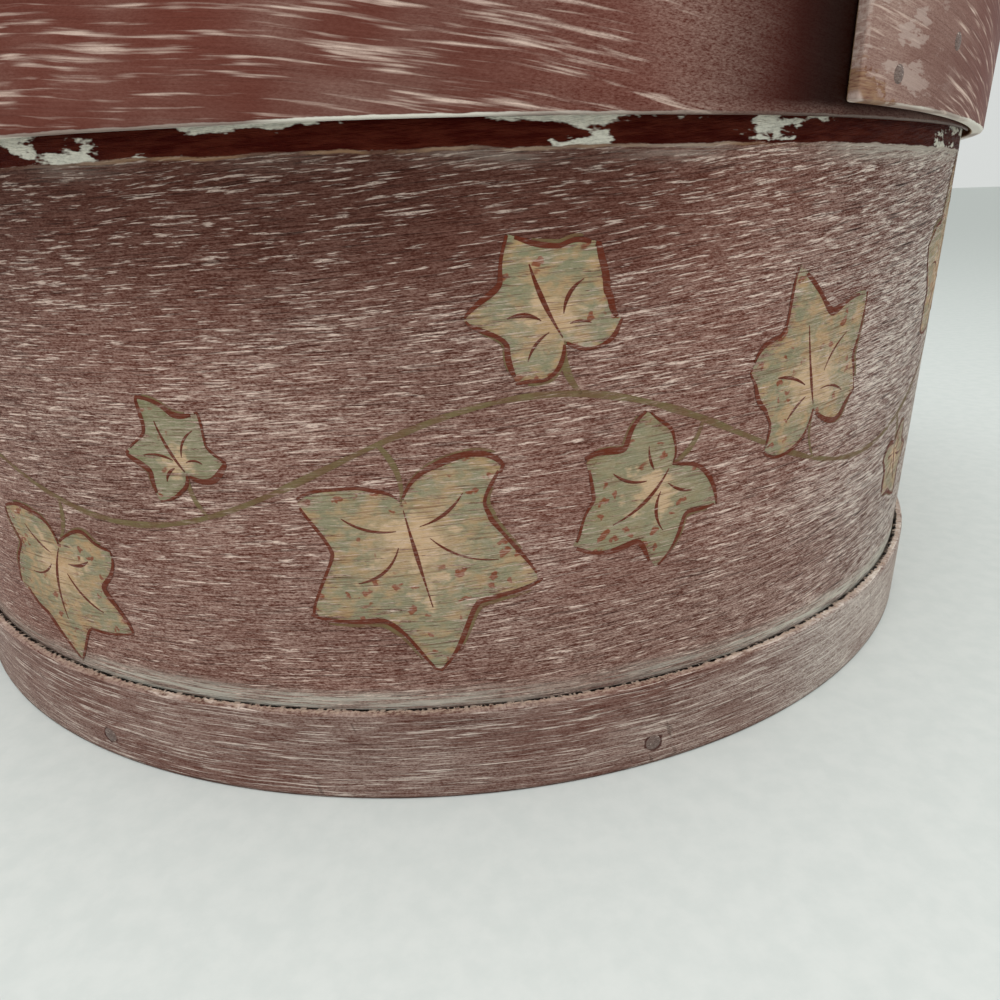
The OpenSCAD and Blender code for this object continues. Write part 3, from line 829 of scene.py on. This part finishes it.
stems, fills, lines = new_sheet(), new_sheet(), new_sheet()
span = 2 * math.pi * WALL_FACE / TRAIL_WAVES
for wave in range(TRAIL_WAVES):
    places = [wave * span + span * step / TRAIL_STEPS for step in range(TRAIL_STEPS + 1)]
    add_stroke(stems, [(place, trail_up(place)) for place in places], STEM_WIDTH, 0.15)
for leaf in leaves:
    base = leaf_point(leaf, math.pi, 1.0)
    foot = (leaf["foot"], trail_up(leaf["foot"]))
    add_stroke(stems, curve_path(foot, base, 0.12), STALK_WIDTH, 0.4)
    add_leaf(fills, leaf)
    for (low_at, _), (high_at, _) in zip(LEAF_LOBES, LEAF_LOBES[1:]):
        for way in (-1, 1):
            first, last = low_at + draw.uniform(-4, 3), high_at + draw.uniform(-8, 1)
            turns = [math.radians(first + (last - first) * step / OUTLINE_STEPS) * way
                     for step in range(OUTLINE_STEPS + 1)]
            share = draw.uniform(0.97, 1.03)
            outline = [leaf_point(leaf, turn, share) for turn in turns]
            add_stroke(lines, outline, draw.uniform(*OUTLINE_WIDTHS), 0.4)
            if draw.random() < OLIVE_SHARE:
                outer_line = [leaf_point(leaf, turn, share + OLIVE_SET_OFF) for turn in turns[4:-3]]
                add_stroke(stems, outer_line, OLIVE_WIDTH)
    crown = leaf_point(leaf, 0.0, draw.uniform(0.5, 0.66))
    midrib = curve_path(leaf_point(leaf, math.pi, 0.8), crown, draw.uniform(-0.1, 0.1))
    add_stroke(lines, midrib, MIDRIB_WIDTH, 0.8)
    for turn, _ in LEAF_LOBES[1:-1]:
        for way in (-1, 1):
            root, tip = (leaf_point(leaf, math.radians(turn) * way, share)
                         for share in (draw.uniform(0.1, 0.2), draw.uniform(0.5, 0.68)))
            vein = curve_path(root, tip, draw.uniform(0.05, 0.16) * way)
            add_stroke(lines, vein, draw.uniform(*VEIN_WIDTHS), 0.9)

leaf_material, tree, shader, board = new_material("leaf_paint", LEAF_ROUGHNESS)
wall_color, wall_height, wall_lime, wall_pores = wall_finish(tree, board)
tint = add(tree, "ShaderNodeAttribute", attribute_name="tint").outputs["Vector"]
rim_share, tone = split(tree, tint)[:2]
daubs = ripple(tree, board, 5, 9, 3.2, 3.0, 0.62)
daubed = plus(tree, rim_share, times(tree, daubs, 1.7))
leaf_color = blend(tree, ramp(tree, daubed, 0.14, 0.5), CREAM, SAGE)
leaf_color = blend(tree, ramp(tree, daubed, 0.86, 1.1, 0.0, 0.6), leaf_color, OLIVE)
warmed = times(tree, tone, ramp(tree, daubs, -0.1, 0.16, 0.0, 0.7))
leaf_color = blend(tree, warmed, leaf_color, PEACH)
dab = times(tree, mottle(tree, board, 3, 9, 3, 2.0, 0.6, (8.0, 2.0, 4.0)), 1.6)
fleck_spot = add(tree, "ShaderNodeVectorMath", {0: board, 1: FLECK_SCALE, 2: join(tree, dab, 0.0, dab)},
                 operation="MULTIPLY_ADD").outputs[0]
flecks = add(tree, "ShaderNodeTexVoronoi",
             {"Vector": fleck_spot, "Scale": 1.0, "Randomness": 1.0}).outputs
chosen = ramp(tree, split(tree, flecks["Color"])[0], 0.5, 0.52)
fleck = times(tree, ramp(tree, flecks["Distance"], 0.34, 0.22, 0.0, 0.9),
              times(tree, chosen, ramp(tree, rim_share, 0.3, 0.5)))
leaf_color = blend(tree, fleck, leaf_color, FLECK_RUST)
leaf_color = blend(tree, times(tree, wall_lime, 0.45), leaf_color, WALL_LIME)
leaf_color = blend(tree, times(tree, wall_pores, 0.5), leaf_color, WALL_PAINT)
worn = plus(tree, mottle(tree, board, 7, 9, 0.5, 3.0, 0.65, (5.0, 1.0, 2.0)),
            ramp(tree, rim_share, 0.75, 1.0, 0.0, 0.12))
leaf_color = blend(tree, ramp(tree, worn, 0.58, 0.72, 0.0, 0.85), leaf_color, wall_color)
dress(tree, shader, leaf_color, wall_height, GRAIN_RELIEF)
lay_on_wall(fills, "leaf_trail_leaves", leaf_material, 0.0, LEAF_PAINT)


def line_material(name, color):
    """Thin brushed paint that the rubbing has broken up along the grain."""
    material, tree, shader, board = new_material(name, LEAF_ROUGHNESS)
    wall_color, wall_height, _, _ = wall_finish(tree, board)
    rubbed = ramp(tree, mottle(tree, board, 5, 9, 0.5, 3.0, 0.65, (2.0, 4.0, 7.0)), 0.5, 0.68, 0.1, 0.75)
    uneven = ramp(tree, mottle(tree, board, 4, 9, 4, 2.0), 0.35, 0.65)
    stroke = blend(tree, uneven, color, blend(tree, 0.4, color, WALL_PAINT))
    dress(tree, shader, blend(tree, rubbed, stroke, wall_color), wall_height, GRAIN_RELIEF)
    return material


lay_on_wall(stems, "leaf_trail_stems", line_material("stem_paint", STEM_GREEN), 0.0, STEM_PAINT)
lay_on_wall(lines, "leaf_trail_outlines", line_material("outline_paint", RUST), LEAF_PAINT / 2, LINE_PAINT)


# Lid planks: three boards that make the round lid top, held by dowels and by nails through the rim.
# The top is painted like the rim and brushed with thin lime along the boards; the underside is bare.
LID_PLANKS = ("lid_plank_front", "lid_plank_middle", "lid_plank_back")
LID_PAINT = shade(101, 48, 38)
LID_LIME = shade(222, 196, 182)
LID_TOP = 214.0
TOP_PAINT = (LID_TOP - 3.0, LID_TOP - 2.0)
LID_RELIEF = 0.14
LID_MATT = (0.44, 0.66)
LID_STROKE_FALL = 0.03

lid_material, tree, shader, board = new_material("brushed_lid_top", PAINT_ROUGHNESS)
lid_along, lid_deep, _ = split(tree, board)[:3]
limed = place_group(
    tree, limed_paint, Board=board, Paint=LID_PAINT, Lime=LID_LIME, Film=0.14, Cover=0.56, Grain=0.35,
    Speck=0.5, Stroke=22.0, Width=1.2, Tilt=times(tree, lid_along, LID_STROKE_FALL), Soft=0.14, Patchy=0.34)
plank_top = ramp(tree, lid_deep, *TOP_PAINT)
lid_color = blend(tree, plank_top, pine_on(tree, board)["Color"], limed["Color"])
lid_matt = ramp(tree, limed["Lime"], 0.0, CHALKY, *LID_MATT)
dress(tree, shader, lid_color, limed["Height"], LID_RELIEF, lid_matt)
lid_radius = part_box("lid_plank_middle")[1].x
for lid_plank in LID_PLANKS:
    make_plank(lid_plank, lid_radius, lid_material, "lid", "lid_wood")


# Lid rim: a deep bent board round the lid top, with a blunt outer end that stands proud at its lap.
# It is painted red-brown with lime brushed on dry in slanting strokes, rubbed white along its lower
# edge, worn to raw wood at the corner of the lap and stained dark beside it, that stain deepening
# to painted shadow of the proud end close against it.
RIM = {"inner": 193.3, "thick": 3.2, "height": 58.0, "foot": 156.0, "end_at": 26.4,
       "lap": 143.0, "end_thick": 3.2, "dip": 1.4, "end_rise": 2.6}
RIM_NAIL_AT = 12.0
RIM_NAIL_UP = 53.5
# Stain beside the lap; the darkest colour is partly painted shadow of the lap's proud end.
STAIN_AND_SHADOW_RED = shade(62, 15, 7)
STAIN_AND_SHADOW_DARK = shade(26, 4, 1)
LAP_PALE = shade(196, 174, 164)
EDGE_WHITE = shade(244, 238, 226)
STROKE_FALL = 0.1
SWAY_FALL = 0.09
SWAY_LENGTH = 60.0
SWAY_AT = 1114.0
RIM_MATT = (0.42, 0.66)
RIM_TURN = 2 * math.pi * outside(RIM)
LAP_FADE = (70.0, 6.0)
LAP_FILM = 0.24
LAP_WEAR = (46.0, 14.0)
NEAR_LAP = (RIM_TURN - 96.0, RIM_TURN - 50.0)
NEAR_LAP_FILM = 0.05
RIM_SPECK = (0.3, 0.8)
COVER_END = (RIM_TURN - 56.0, RIM_TURN - 24.0)
RIM_COVER = (0.9, 0.4)
WHITE_END = (RIM_TURN - 90.0, RIM_TURN - 40.0)
# Where the stain lies along the rim, and nearest the lap where it deepens into painted shadow.
STAIN_AND_SHADOW_SPAN = (RIM_TURN - 50.0, RIM_TURN - 14.0)
STAIN_AND_SHADOW_DEEP = (RIM_TURN - 26.0, RIM_TURN - 4.0)
LAP_FLAKE = 18.0
CORNER_LONG = 13.0
CORNER_HIGH = 7.5

rim_material, tree, shader, board = new_material("brushed_rim", PAINT_ROUGHNESS)
rim_along, _, rim_up = split(tree, board)[:3]
sway = calc(tree, "COSINE", over(tree, minus(tree, rim_along, SWAY_AT), SWAY_LENGTH))
rim_tilt = minus(tree, times(tree, rim_along, STROKE_FALL),
                 times(tree, sway, SWAY_FALL * SWAY_LENGTH))
clouds = ramp(tree, mottle(tree, board, 75, 60, 55, 3.0, 0.6, (0.2, 0.0, 0.6)), 0.42, 0.66, 0.03, 0.22)
rim_film = plus(tree, clouds, ramp(tree, rim_along, *LAP_FADE, 0.0, LAP_FILM))
rim_film = plus(tree, rim_film, ramp(tree, rim_along, *NEAR_LAP, 0.0, NEAR_LAP_FILM))
limed = place_group(
    tree, limed_paint, Board=board, Paint=LID_PAINT, Lime=LID_LIME, Film=rim_film,
    Cover=ramp(tree, rim_along, *COVER_END, *RIM_COVER), Grain=0.2,
    Speck=ramp(tree, rim_along, *NEAR_LAP, *RIM_SPECK),
    Stroke=36.0, Width=1.15, Tilt=rim_tilt, Soft=0.26, Patchy=0.38)
rough_up = plus(tree, rim_up, times(tree, ripple(tree, board, 6, 9, 2, 3.0, 0.6), 0.8))
worn_runs = ramp(tree, mottle(tree, board, 50, 9, 60, 2.0), 0.36, 0.52, 0.3, 1.0)
worn_runs = times(tree, worn_runs, ramp(tree, rim_along, *WHITE_END, 1.0, 0.25))
rim_edge = times(tree, ramp(tree, rough_up, 0.5, 0.3), worn_runs)
rim_color = blend(tree, rim_edge, limed["Color"], EDGE_WHITE)
# Dark stain beside the lap's proud end, deepening close to the end into painted shadow of it.
stain_and_shadow = times(tree, ramp(tree, rim_along, *STAIN_AND_SHADOW_SPAN), ramp(tree, rough_up, 0.5, 3.0, 0.6, 0.97))
stain_and_shadow_color = blend(tree, ramp(tree, rim_along, *STAIN_AND_SHADOW_DEEP), STAIN_AND_SHADOW_RED, STAIN_AND_SHADOW_DARK)
rim_color = blend(tree, stain_and_shadow, rim_color, stain_and_shadow_color)
lap_flakes = place_group(tree, paint_flakes, Board=board, Size=LAP_FLAKE, Amount=0.56)["Mask"]
lap_wear = times(tree, ramp(tree, rim_along, *LAP_WEAR), lap_flakes)
rim_color = blend(tree, times(tree, lap_wear, 0.6), rim_color, LAP_PALE)
worn_end = times(tree, ramp(tree, rim_along, 1.4, 0.5),
                 ramp(tree, mottle(tree, board, 2, 1.2, 1.4, 3.0, 0.6), 0.4, 0.62, 0.05, 0.6))
rim_color = blend(tree, worn_end, rim_color, LAP_PALE)
corner = plus(tree, over(tree, rim_along, CORNER_LONG), over(tree, rough_up, CORNER_HIGH))
corner = plus(tree, corner, ramp(tree, mottle(tree, board, 3, 9, 2, 3.0, 0.6), 0.3, 0.7, -0.3, 0.3))
raw_grain = ramp(tree, mottle(tree, board, 4, 3, 0.5, 2.0, 0.6), 0.3, 0.8)
raw_share = times(tree, ramp(tree, corner, 1.1, 0.8, 0.0, 0.85),
                  ramp(tree, plus(tree, rim_along, rough_up), 1.0, 2.6))
rim_color = blend(tree, raw_share, rim_color, blend(tree, raw_grain, RAW_TAN, LID_PAINT))
rim_rings = nail_rings(tree, board, RIM, RIM_NAIL_AT, RIM_NAIL_UP)
rim_color = bare_inside(tree, board, blend(tree, rim_rings, rim_color, BARE_PAINT))
rim_matt = ramp(tree, limed["Lime"], 0.0, CHALKY, *RIM_MATT)
dress(tree, shader, rim_color, limed["Height"], LID_RELIEF, rim_matt)
make_bent_board(RIM, "rim_board", rim_material, "lid", "lid_wood", "lid_rim", 6)


# Floor, light and camera: a pale table, soft light from above the box's front,
# and a close view of that front from just below the lid's lower edge.
FLOOR_PALE = shade(219, 223, 220)
FLOOR_SHADE = shade(213, 218, 215)
FLOOR_SIZE = 60.0
FLOOR_ROUGHNESS = 0.6
WORLD_COLOR = (0.97, 1.0, 0.98, 1.0)
WORLD_STRENGTH = 0.69
KEY_POWER = 10.3
KEY_SIZE = 1.2
KEY_DISTANCE = 1.3
KEY_AZIMUTH = -6.0
KEY_ELEVATION = 72.0
CAMERA_AT = (0.0, -0.34636, 0.14189)
CAMERA_PITCH = 21.80
CAMERA_YAW = 3.847
CAMERA_ROLL = -1.914
CAMERA_LENS = 27.04
CAMERA_NEAR = 0.01

bm = bmesh.new()
bmesh.ops.create_grid(bm, x_segments=8, y_segments=8, size=FLOOR_SIZE / 2)
floor_mesh = bpy.data.meshes.new("floor")
bm.to_mesh(floor_mesh)
bm.free()
floor = bpy.data.objects.new("floor", floor_mesh)
bpy.context.scene.collection.objects.link(floor)
floor_material, tree, shader, board = new_material("pale_table", FLOOR_ROUGHNESS, "object")
cloud = mottle(tree, board, 7, 7, 7, 4.0, 0.6)
floor_color = blend(tree, ramp(tree, cloud, 0.3, 0.7), FLOOR_PALE, FLOOR_SHADE)
tree.links.new(floor_color, shader.inputs["Base Color"])
floor_mesh.materials.append(floor_material)

world = bpy.data.worlds.new("soft_room")
bpy.context.scene.world = world
world.use_nodes = True
background = world.node_tree.nodes["Background"]
background.inputs["Color"].default_value = WORLD_COLOR
background.inputs["Strength"].default_value = WORLD_STRENGTH

key_data = bpy.data.lights.new("key", "AREA")
key_data.energy = KEY_POWER
key_data.size = KEY_SIZE
key = bpy.data.objects.new("key", key_data)
bearing, height = math.radians(KEY_AZIMUTH), math.radians(KEY_ELEVATION)
level = Vector((math.sin(bearing), -math.cos(bearing), 0.0))
towards = level * math.cos(height) + Vector((0.0, 0.0, math.sin(height)))
key.location = towards * KEY_DISTANCE
key.rotation_euler = (-towards).to_track_quat("-Z", "Y").to_euler()
bpy.context.scene.collection.objects.link(key)

pitch, yaw, roll = (math.radians(angle) for angle in (CAMERA_PITCH, CAMERA_YAW, CAMERA_ROLL))
forward = Vector((math.sin(yaw) * math.cos(pitch), math.cos(yaw) * math.cos(pitch), -math.sin(pitch)))
right = Vector((math.cos(yaw), -math.sin(yaw), 0.0))
upward = right.cross(forward)
camera_x = math.cos(roll) * right + math.sin(roll) * upward
camera_y = math.cos(roll) * upward - math.sin(roll) * right
camera_data = bpy.data.cameras.new("camera")
camera_data.lens = CAMERA_LENS
camera_data.clip_start = CAMERA_NEAR
camera = bpy.data.objects.new("camera", camera_data)
turned = Matrix((camera_x, camera_y, -forward)).transposed()
camera.matrix_world = Matrix.Translation(CAMERA_AT) @ turned.to_4x4()
bpy.context.scene.collection.objects.link(camera)
bpy.context.scene.camera = camera
bpy.context.scene.view_settings.view_transform = "Standard"
